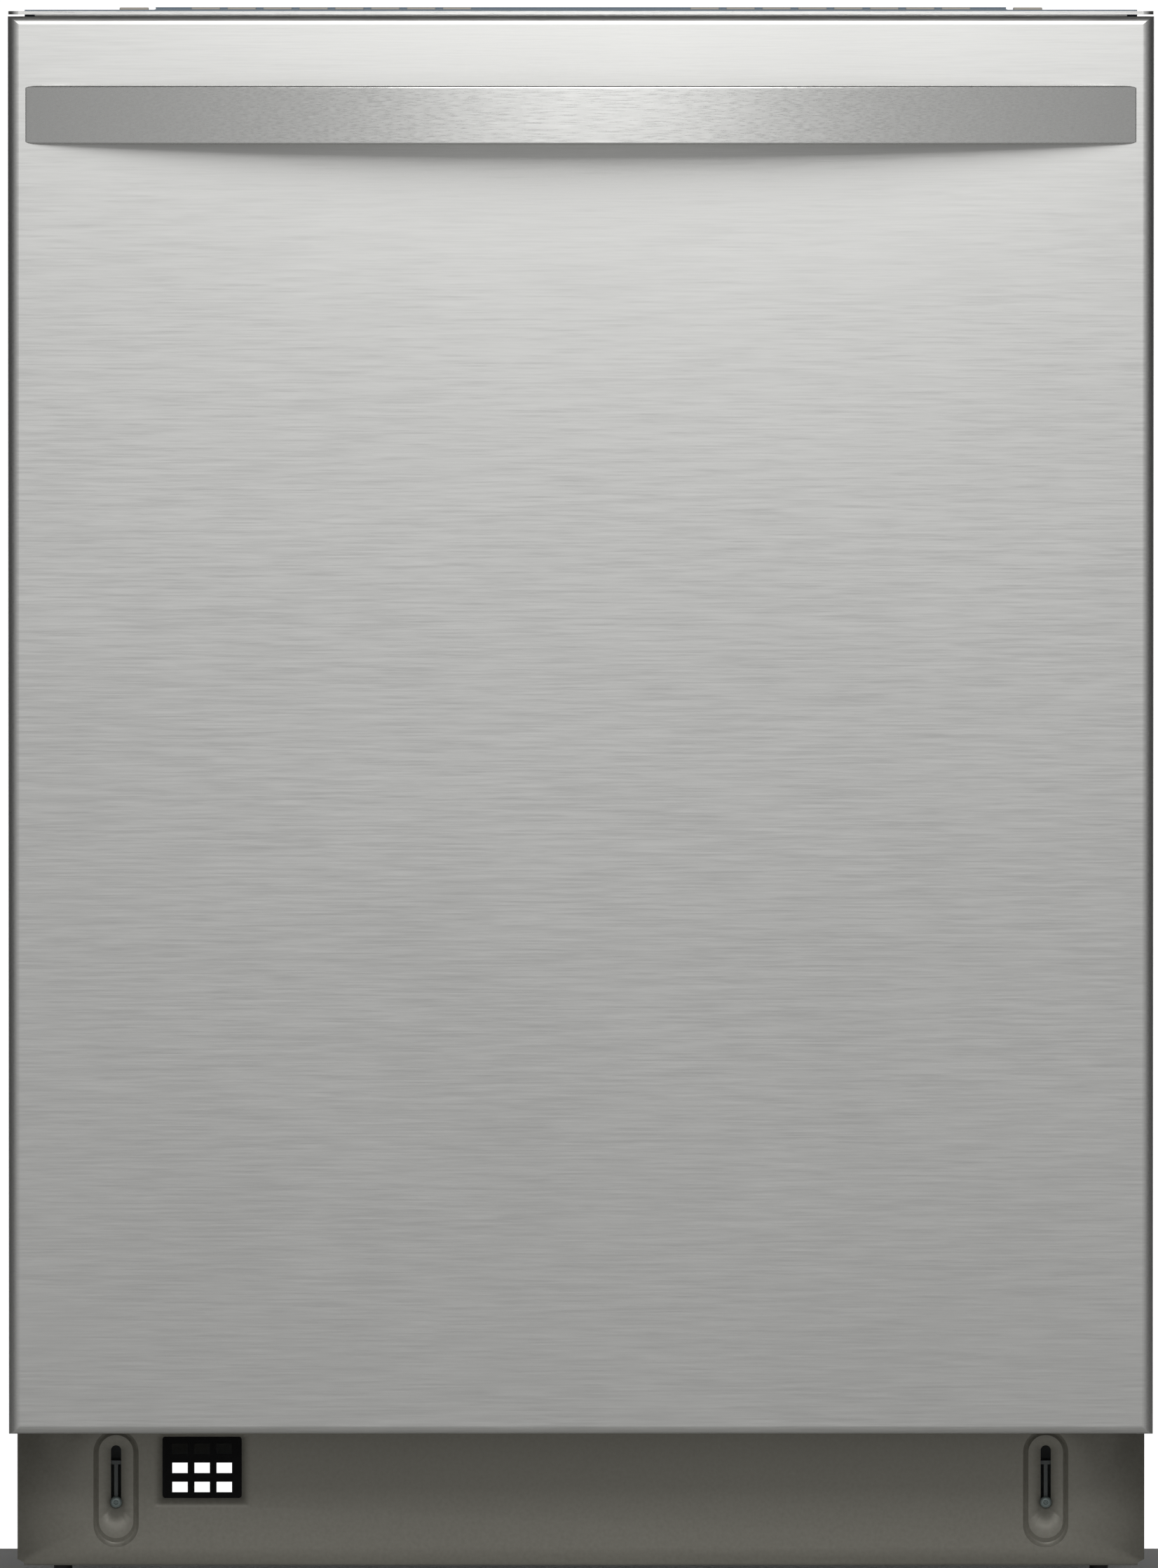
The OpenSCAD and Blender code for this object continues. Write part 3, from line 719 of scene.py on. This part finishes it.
    def grille(self) -> None:
        """Make the grille as crossing bars, with three columns of openings."""
        low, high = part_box("vent_grille")
        shape = Shape()
        middle = (low[0] + high[0]) / 2
        for k in (-1.5, -0.5, 0.5, 1.5):
            x = middle + k * self.grille_pitch_x
            wide = self.grille_bar / 2 if abs(k) < 1 else self.grille_end_bar
            x += 0 if abs(k) < 1 else math.copysign(2.7 * MM, k)
            shape.box((x - wide, low[1], low[2]), (x + wide, high[1], high[2]))
        z = low[2]
        for k in range(4):
            start = self.vent_z + 3 * MM + self.grille_pitch_z * k
            shape.box((low[0], low[1] + 0.2 * MM, z), (high[0], high[1] - 0.2 * MM, min(start, high[2])))
            z = start + self.grille_opening
            if z >= high[2]:
                break
        place_piece(shape.to_object("vent_grille_bars", SHADE_DARKENED_GRILLE_PP), "kick_plate", SHADE_DARKENED_GRILLE_PP, "vent_grille")

    def screws(self) -> None:
        """Make the two pan-head screws with their cross recess."""
        shape = Shape()
        front = self.screw_low[1]
        for side in (-1, 1):
            centre = (side * self.slot_x, front, self.screw_z)
            shape.lathe(centre, (0, 1, 0), in_metres(self.screw_profile_mm), 32)
            for angle in (40, 130):
                turn = math.radians(angle)
                x, z = math.cos(turn) * 1.15 * MM, math.sin(turn) * 1.15 * MM
                shape.rod((centre[0] - x, front + 0.75 * MM, centre[2] - z),
                          (centre[0] + x, front + 0.75 * MM, centre[2] + z), 0.32 * MM, 8)
        place_piece(shape.to_object("pan_head_screws", SCREW_ZINC), "cabinet", SCREW_ZINC, "kick_screws")

    def build(self) -> None:
        """Make every piece of the kick plate."""
        self.plate()
        self.grille()
        self.screws()


@dataclass
class Basket:
    """A bent-wire rack: U-shaped wires under two rims, with rows of upright tines."""

    node: str
    body: str
    rim_radius: float = 3 * MM
    wire_radius: float = 1.9 * MM
    bend: float = 14 * MM
    across: int = 17
    deep: int = 15
    tine_rows: tuple[float, ...] = ()
    tine_height: float = 70 * MM
    floor: float = 0.0
    top: float = 0.0
    rim_sides: int = 12
    middle_rim_share: float = 0.5
    tine_bend: float = 8 * MM

    def frame_lines(self, x: float, y0: float, y1: float) -> None:
        """Make the two rims.

        Args:
            x: Half of their width.
            y0: Their front.
            y1: Their back.
        """
        rims = WireWork(self.rim_radius, self.bend, self.rim_sides)
        rims.loop(-x, x, y0, y1, self.top)
        rims.loop(-x, x, y0, y1, self.floor + (self.top - self.floor) * self.middle_rim_share)
        place_piece(rims.bake(self.node + "_rims", NYLON), self.body, NYLON)

    def build(self, low: Point, high: Point) -> None:
        """Make the whole rack.

        Args:
            low: The basket's lowest corner.
            high: The basket's highest corner.
        """
        x, y0, y1 = high[0], low[1] + self.rim_radius, high[1] - self.rim_radius
        self.frame_lines(x, y0, y1)
        wires = WireWork(self.wire_radius, self.bend)
        inset = self.rim_radius * 0.6
        for i in range(self.across):
            at = -x + 2 * x * (i + 1) / (self.across + 1)
            wires.line((at, y0 + inset, self.top), (at, y0 + inset, self.floor),
                       (at, y1 - inset, self.floor), (at, y1 - inset, self.top))
        lift = self.wire_radius * 1.8
        for i in range(self.deep):
            at = y0 + (y1 - y0) * (i + 1) / (self.deep + 1)
            wires.line((-x + inset, at, self.top), (-x + inset, at, self.floor + lift),
                       (x - inset, at, self.floor + lift), (x - inset, at, self.top))
        place_piece(wires.bake(self.node + "_wires", NYLON), self.body, NYLON, self.node)
        if self.tine_rows:
            tines = WireWork(self.wire_radius * 0.9, self.tine_bend)
            for share in self.tine_rows:
                row = y0 + (y1 - y0) * share
                for i in range(self.across // 2):
                    at = -x + 2 * x * (2 * i + 1.5) / (self.across + 1)
                    step = 2 * x / (self.across + 1)
                    foot, tip = self.floor + lift, self.floor + self.tine_height
                    tines.line((at, row, foot), (at, row, tip), (at + step, row, tip), (at + step, row, foot))
            place_piece(tines.bake(self.node + "_tines", NYLON), self.body, NYLON)


@dataclass
class Racks:
    """The three racks and everything on them."""

    lower_rise: float = 36 * MM
    leg_radius: float = 3 * MM
    leg_bend: float = 6 * MM
    leg_spread: float = 22 * MM
    wheel_overhang: float = 18 * MM
    wheel_width: float = 10 * MM
    wheel_spokes: int = 6
    spoke_radius: float = 1.8 * MM
    tyre_wall: float = 3.5 * MM
    tyre_edge: float = 0.8 * MM
    fold_tines_count: int = 9
    basket_wall: float = 2.2 * MM
    basket_bars_x: int = 14
    basket_bars_y: int = 6
    basket_rail: float = 6 * MM
    side_gap: float = 9 * MM
    runner_rise: float = 112.5 * MM
    runner_thick: float = 3.6 * MM
    shelf_wires: int = 14
    # Radius and height of the pin that the middle spray arm turns on.
    pin_profile_mm: tuple[Point2, ...] = (
        (0.1, 0), (8, 0), (9, 1), (9, 2.4), (5.9, 2.4), (5.9, 16), (14, 18), (14, 24), (0.1, 24))

    def lower(self) -> None:
        """Make the lower rack with its axle legs, wheels, fold-down tines and cutlery basket."""
        low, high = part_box("lower_rack")
        _, wheel_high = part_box("front_wheels")
        side = wheel_high[0] - self.wheel_overhang
        floor = low[2] + self.lower_rise
        rack = Basket("lower_rack", "lower_rack", floor=floor, top=high[2] - 3 * MM,
                      tine_rows=(0.55, 0.7, 0.85))
        rack.build((-side, low[1], floor), (side, high[1], high[2]))
        legs = WireWork(self.leg_radius, self.leg_bend, 12)
        for node in ("front_wheels", "rear_wheels"):
            w_low, w_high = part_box(node)
            y, z = (w_low[1] + w_high[1]) / 2, (w_low[2] + w_high[2]) / 2
            for s in (-1, 1):
                for along in (-self.leg_spread, self.leg_spread):
                    legs.line((s * (side - 4 * MM), y + along, floor + 6 * MM),
                              (s * (side - 4 * MM), y + along * 0.2, z), (s * (side + 2 * MM), y, z))
                legs.line((s * (side - 6 * MM), y, z), (s * (w_high[0] + 1 * MM), y, z))
            self.wheels(node)
        place_piece(legs.bake("axle_legs", NYLON), "lower_rack", NYLON)
        self.fold_tines()
        self.basket()

    def wheels(self, node: str) -> None:
        """Make one pair of spoked wheels.

        Args:
            node: The CAD node and body of the pair.
        """
        low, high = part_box(node)
        y, z = (low[1] + high[1]) / 2, (low[2] + high[2]) / 2
        radius, width, edge = (high[2] - low[2]) / 2, self.wheel_width, self.tyre_edge
        shape = Shape()
        for s in (-1, 1):
            x = high[0] - width if s > 0 else -high[0]
            shape.lathe((x, y, z), (1, 0, 0), [
                (radius - self.tyre_wall, 0), (radius - edge, 0), (radius, edge),
                (radius, width - edge), (radius - edge, width), (radius - self.tyre_wall, width)], 48)
            shape.lathe((x, y, z), (1, 0, 0), [
                (4.1 * MM, 0), (7 * MM, 0), (7 * MM, width), (4.1 * MM, width)], 32)
            for k in range(self.wheel_spokes):
                a = math.tau * k / self.wheel_spokes
                c, d = math.cos(a), math.sin(a)
                shape.rod((x + width / 2, y + c * 6 * MM, z + d * 6 * MM),
                          (x + width / 2, y + c * (radius - 3 * MM), z + d * (radius - 3 * MM)),
                          self.spoke_radius, 10)
        place_piece(shape.to_object("spoked_" + node, GREY_PP), node, GREY_PP, node)

    def fold_tines(self) -> None:
        """Make the row of tines that folds down."""
        low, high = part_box("lower_tines")
        wires = WireWork(1.8 * MM, 9 * MM)
        y, z = (low[1] + high[1]) / 2, low[2] + 2.5 * MM
        count, inset = self.fold_tines_count, 1.8 * MM
        step = (high[0] - low[0] - 2 * inset) / count
        wires.line((low[0], y, z), (high[0], y, z))
        for i in range(count + 1):
            at = low[0] + inset + step * i
            wires.line((at, y, z), (at, y, high[2]))
        place_piece(wires.bake("fold_down_tines", NYLON), "lower_tines", NYLON, "lower_tines")

    def basket(self) -> None:
        """Make the cutlery basket as a lattice of moulded bars."""
        low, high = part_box("cutlery_basket")
        shape = Shape()
        wall, rail = self.basket_wall, self.basket_rail
        shape.box((low[0], low[1], low[2]), (high[0], high[1], low[2] + wall))
        for z in (low[2] + 30 * MM, low[2] + 62 * MM, high[2] - rail):
            shape.box((low[0], low[1], z), (high[0], low[1] + wall, z + rail))
            shape.box((low[0], high[1] - wall, z), (high[0], high[1], z + rail))
            shape.box((low[0], low[1], z), (low[0] + wall, high[1], z + rail))
            shape.box((high[0] - wall, low[1], z), (high[0], high[1], z + rail))
        for i in range(self.basket_bars_x + 1):
            x = low[0] + (high[0] - low[0] - wall) * i / self.basket_bars_x
            for y in (low[1], high[1] - wall):
                shape.box((x, y + 0.2 * MM, low[2]), (x + wall, y + wall - 0.2 * MM, high[2] - 1 * MM))
        for i in range(self.basket_bars_y + 1):
            y = low[1] + (high[1] - low[1] - wall) * i / self.basket_bars_y
            for x in (low[0], high[0] - wall):
                shape.box((x + 0.2 * MM, y, low[2]), (x + wall - 0.2 * MM, y + wall, high[2] - 1 * MM))
        for i in (1, 2):
            x = low[0] + (high[0] - low[0]) * i / 3
            shape.box((x - 1 * MM, low[1] + 1 * MM, low[2]), (x + 1 * MM, high[1] - 1 * MM, high[2] - 8 * MM))
        place_piece(shape.to_object("basket_lattice", GREY_PP), "cutlery_basket", GREY_PP, "cutlery_basket")

    def upper(self) -> None:
        """Make the upper rack with its runners, its spray-arm pin and its cup shelf."""
        low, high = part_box("upper_rack")
        shelf_low, shelf_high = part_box("cup_shelf")
        side = -shelf_low[0] + self.side_gap
        arm_low, arm_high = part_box("middle_arm")
        floor = arm_high[2] + 14 * MM
        Basket("upper_rack", "upper_rack", floor=floor, top=high[2] - 3 * MM, tine_rows=(0.25, 0.5, 0.75),
               tine_height=55 * MM).build((-side, low[1], floor), (side, high[1], high[2]))
        y = (arm_low[1] + arm_high[1]) / 2
        pin = Shape()
        pin.lathe((0, y, arm_low[2] - 4 * MM), (0, 0, 1), in_metres(self.pin_profile_mm))
        place_piece(pin.to_object("arm_pin", GREY_PP), "upper_rack", GREY_PP)
        _, rail_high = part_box("rack_rails")
        runner = Shape()
        inner, outer = side + 2.5 * MM, rail_high[0] - 3 * MM
        z = floor + self.runner_rise
        for s in (-1, 1):
            runner.box((min(s * inner, s * outer), low[1] + 3 * MM, z),
                       (max(s * inner, s * outer), high[1] - 3 * MM, z + self.runner_thick))
        place_piece(runner.to_object("upper_runners", NYLON, 0.8), "upper_rack", NYLON)
        self.cup_shelf(shelf_low, shelf_high)

    def cup_shelf(self, low: Point, high: Point) -> None:
        """Make the folding cup shelf.

        Args:
            low: The shelf's lowest corner.
            high: The shelf's highest corner.
        """
        wires = WireWork(2 * MM, 10 * MM)
        z, inset = (low[2] + high[2]) / 2, 3 * MM
        wires.line((low[0] + inset, low[1], z), (low[0] + inset, high[1], z))
        for i in range(self.shelf_wires):
            y = low[1] + 10 * MM + (high[1] - low[1] - 24 * MM) * i / (self.shelf_wires - 1)
            wires.line((low[0] + inset, y, z), (high[0] - inset, y, z))
        wires.line((high[0] - inset, low[1] + 4 * MM, z), (high[0] - inset, high[1] - 4 * MM, z))
        place_piece(wires.bake("cup_shelf_wires", NYLON), "cup_shelf", NYLON, "cup_shelf")

    def tray(self) -> None:
        """Make the cutlery tray: a shallow wire basket on two side runners."""
        low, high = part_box("cutlery_tray")
        side = -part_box("cup_shelf")[0][0] + self.side_gap
        floor = high[2] - 30 * MM
        Basket("cutlery_tray", "cutlery_tray", floor=floor, top=high[2] - 2 * MM, rim_radius=2.4 * MM,
               wire_radius=1.6 * MM, bend=8 * MM, across=25, deep=9).build(
            (-side, low[1], floor), (side, high[1], high[2]))
        shape = Shape()
        for s in (-1, 1):
            a, b = s * side, s * high[0]
            shape.box((min(a, b), low[1] + 2 * MM, low[2]),
                      (max(a, b), high[1] - 2 * MM, low[2] + self.runner_thick))
            shape.box((min(a, a + s * 2 * MM), low[1] + 2 * MM, low[2]),
                      (max(a, a + s * 2 * MM), high[1] - 2 * MM, floor + 4 * MM))
        place_piece(shape.to_object("tray_runners", NYLON, 0.6), "cutlery_tray", NYLON)

    def build(self) -> None:
        """Make the three racks."""
        self.lower()
        self.upper()
        self.tray()


@dataclass
class WaterParts:
    """Spray arms, filter and door springs."""

    nozzles: int = 7
    arm_edge_mm: float = 1.2
    arm_tip_share: float = 0.6
    # Radius and height of an arm's hub, from its bore outwards and back.
    hub_profile_mm: tuple[Point2, ...] = ((7.1, 0), (18, 0), (19, 2), (19, 7), (12, 10), (7.1, 10))
    # Radius and height of one raised nozzle round its hole.
    nozzle_profile_mm: tuple[Point2, ...] = ((1.2, 0), (4, 0), (3.2, 1.9), (1.6, 1.9), (1.2, 1.2))
    mesh_wires: int = 72
    mesh_wire_radius: float = 0.5 * MM
    filter_wall: float = 2.4 * MM
    filter_rim_sides: int = 48
    coil_radius: float = 5 * MM
    coil_wire_radius: float = 0.9 * MM
    coil_turns: int = 30
    coil_steps: int = 14

    def arm(self, node: str) -> None:
        """Make a tapered spray arm with a hub and raised nozzles.

        Args:
            node: The CAD node and body of the arm.
        """
        low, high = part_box(node)
        reach, y = high[0], (low[1] + high[1]) / 2
        wide = (high[1] - low[1]) / 2
        end = wide * self.arm_tip_share
        outline = (arc((reach - end, y), end, -80, 80, 12) + arc((0, y), wide, 75, 105, 8)
                   + arc((-reach + end, y), end, 100, 260, 12) + arc((0, y), wide, 255, 285, 8))
        shape = Shape()
        shape.prism(outline, low[2] + 0.2 * MM, high[2] - 1.6 * MM)
        shape.lathe((0, y, low[2]), (0, 0, 1), in_metres(self.hub_profile_mm))
        for side in (-1, 1):
            for k in range(self.nozzles):
                x = side * (28 * MM + (reach - 44 * MM) * k / (self.nozzles - 1))
                off = (4 if k % 2 else -4) * MM
                shape.lathe((x, y + off, high[2] - 2 * MM), (0, 0, 1),
                            in_metres(self.nozzle_profile_mm), 16)
        place_piece(shape.to_object(node + "_moulding", GREY_PP, self.arm_edge_mm), node, GREY_PP, node)

    def filter_cup(self) -> None:
        """Make the filter: a fine lattice cup with a turning handle."""
        low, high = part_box("filter")
        x, y = (low[0] + high[0]) / 2, (low[1] + high[1]) / 2
        radius = (high[0] - low[0]) / 2
        wires = WireWork(self.mesh_wire_radius, 0.0, 5)
        for k in range(self.mesh_wires):
            a = math.tau * k / self.mesh_wires
            c, s = math.cos(a) * (radius - 1.2 * MM), math.sin(a) * (radius - 1.2 * MM)
            wires.line((x + c, y + s, low[2] + 3 * MM), (x + c, y + s, high[2] - 5 * MM))
        place_piece(wires.bake("filter_mesh", TUB_STEEL), "filter", TUB_STEEL)
        shape = Shape()
        for z, height in ((low[2], 5 * MM), (low[2] + 30 * MM, 3 * MM), (high[2] - 8 * MM, 8 * MM)):
            shape.lathe((x, y, z), (0, 0, 1), [
                (radius - self.filter_wall, 0), (radius, 0), (radius, height),
                (radius - self.filter_wall, height)], self.filter_rim_sides)
        shape.lathe((x, y, low[2]), (0, 0, 1), [
            (0.1 * MM, 0), (radius - 1 * MM, 0), (radius - 1 * MM, 2 * MM), (0.1 * MM, 2 * MM)],
            self.filter_rim_sides)
        shape.box((x - radius + 2 * MM, y - 3 * MM, high[2] - 12 * MM),
                  (x + radius - 2 * MM, y + 3 * MM, high[2]))
        place_piece(shape.to_object("filter_cup", GREY_PP, 0.5), "filter", GREY_PP, "filter")

    def springs(self) -> None:
        """Make the two coil springs of the door."""
        low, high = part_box("door_springs")
        coil, turns, steps = self.coil_radius, self.coil_turns, self.coil_steps
        wires = WireWork(self.coil_wire_radius, 0.0, 6)
        y = (low[1] + high[1]) / 2
        for s in (-1, 1):
            x = s * (high[0] - 6 * MM)
            points = []
            for i in range(turns * steps + 1):
                a = math.tau * i / steps
                points.append((x + coil * math.cos(a), y + coil * math.sin(a),
                               low[2] + 1 * MM + (high[2] - low[2] - 2 * MM) * i / (turns * steps)))
            wires.line(*points)
        place_piece(wires.bake("spring_coils", ZINC), "cabinet", ZINC, "door_springs")

    def build(self) -> None:
        """Make the refined water parts and the springs."""
        for node in ("lower_arm", "middle_arm", "top_arm"):
            self.arm(node)
        self.filter_cup()
        self.springs()


@dataclass(frozen=True)
class Lamp:
    """One soft rectangular lamp."""

    name: str
    place: Point
    aim: Point
    size: Point2
    power: float


KEY_LAMP = Lamp("key_lamp", (0.03, -1.75, 1.6), (0.0, -0.3, 0.6), (0.6, 1.3), 18.0)


@dataclass
class Studio:
    """Pale floor, soft light and the camera."""

    distance: float = 12.0
    elevation: float = 2.0
    seen_height: float = 0.8291
    seen_top: float = 0.8641
    floor_size: tuple[float, float, float] = (3.0, 0.8, 0.36)
    # Brightness of the room in front, at the sides, and of the wall behind.
    room_light: tuple[float, float, float] = (0.52, 0.06, 1.05)
    floor_colour: str = "#dcdcda"
    floor_roughness: float = 0.8
    # What the camera aims at: its place across, and how far it lies behind the foremost face.
    aim_x: float = -0.001
    aim_depth: float = 0.045
    sensor_mm: float = 36.0
    clip_end: float = 200.0

    def floor(self) -> None:
        """Make the pale floor."""
        mesh = bpy.data.meshes.new("floor")
        wide, front, back = self.floor_size
        mesh.from_pydata([(-wide, -front, 0), (wide, -front, 0), (wide, back, 0), (-wide, back, 0)],
                         [], [(0, 1, 2, 3)])
        pale = bpy.data.materials.new("pale_floor")
        pale.use_nodes = True
        shader = pale.node_tree.nodes["Principled BSDF"]
        shader.inputs["Base Color"].default_value = linear(self.floor_colour)
        shader.inputs["Roughness"].default_value = self.floor_roughness
        mesh.materials.append(pale)
        plane = bpy.data.objects.new("floor", mesh)
        bpy.context.scene.collection.objects.link(plane)

    @staticmethod
    def lamp(wanted: Lamp) -> None:
        """Add one lamp, aimed at its point and unseen by the camera.

        Args:
            wanted: The lamp's name, place, aim, size and power.
        """
        data = bpy.data.lights.new(wanted.name, "AREA")
        data.shape = "RECTANGLE"
        data.size, data.size_y = wanted.size
        data.energy = wanted.power
        lamp = bpy.data.objects.new(wanted.name, data)
        lamp.location = wanted.place
        ray = Vector(wanted.aim) - Vector(wanted.place)
        lamp.rotation_euler = ray.to_track_quat("-Z", "Y").to_euler()
        lamp.visible_camera = False
        bpy.context.scene.collection.objects.link(lamp)

    def light(self) -> None:
        """Set the white surroundings, by direction, and the lamp."""
        world = bpy.data.worlds.new("white_room")
        world.use_nodes = True
        tree = world.node_tree
        tree.nodes.clear()
        ahead = add_node(tree, "ShaderNodeTexCoord").outputs["Generated"]
        parts = add_node(tree, "ShaderNodeSeparateXYZ", {"Vector": ahead})
        room = add_node(tree, "ShaderNodeMapRange", {
            "Value": parts.outputs["Y"], "From Min": -0.9, "From Max": -0.3,
            "To Min": self.room_light[0], "To Max": self.room_light[1]})
        wall = add_node(tree, "ShaderNodeMapRange", {
            "Value": parts.outputs["Y"], "From Min": 0.8, "From Max": 0.95,
            "To Min": 0.0, "To Max": self.room_light[2]})
        level = add_node(tree, "ShaderNodeMath", {
            0: room.outputs["Result"], 1: wall.outputs["Result"]}, operation="MAXIMUM")
        sky = add_node(tree, "ShaderNodeBackground", {
            "Color": (1.0, 1.0, 1.0, 1.0), "Strength": level.outputs["Value"]})
        add_node(tree, "ShaderNodeOutputWorld", {"Surface": sky.outputs["Background"]})
        bpy.context.scene.world = world
        self.lamp(KEY_LAMP)

    def camera(self) -> None:
        """Aim the far camera at the middle of what it sees."""
        rise = math.radians(self.elevation)
        middle = Vector((self.aim_x, CAD_BOX[0][1] + self.aim_depth, self.seen_top - self.seen_height / 2))
        data = bpy.data.cameras.new("camera")
        data.sensor_width = self.sensor_mm
        data.sensor_fit = "VERTICAL"
        data.sensor_height = self.sensor_mm
        data.lens = self.sensor_mm * self.distance / self.seen_height
        data.clip_end = self.clip_end
        eye = bpy.data.objects.new("camera", data)
        eye.location = middle + Vector((0.0, -math.cos(rise), math.sin(rise))) * self.distance
        eye.rotation_euler = (middle - eye.location).to_track_quat("-Z", "Y").to_euler()
        bpy.context.scene.collection.objects.link(eye)
        bpy.context.scene.camera = eye

    def build(self) -> None:
        """Make the whole stage."""
        self.floor()
        self.light()
        self.camera()
        bpy.context.scene.view_settings.view_transform = "Standard"


def main() -> None:
    """Build the looks."""
    logging.basicConfig(level=logging.INFO)
    Studio().build()
    dress_cad_nodes()
    FrontDoor().build()
    KickPlate().build()
    Racks().build()
    WaterParts().build()


if __name__ == "__main__":
    main()
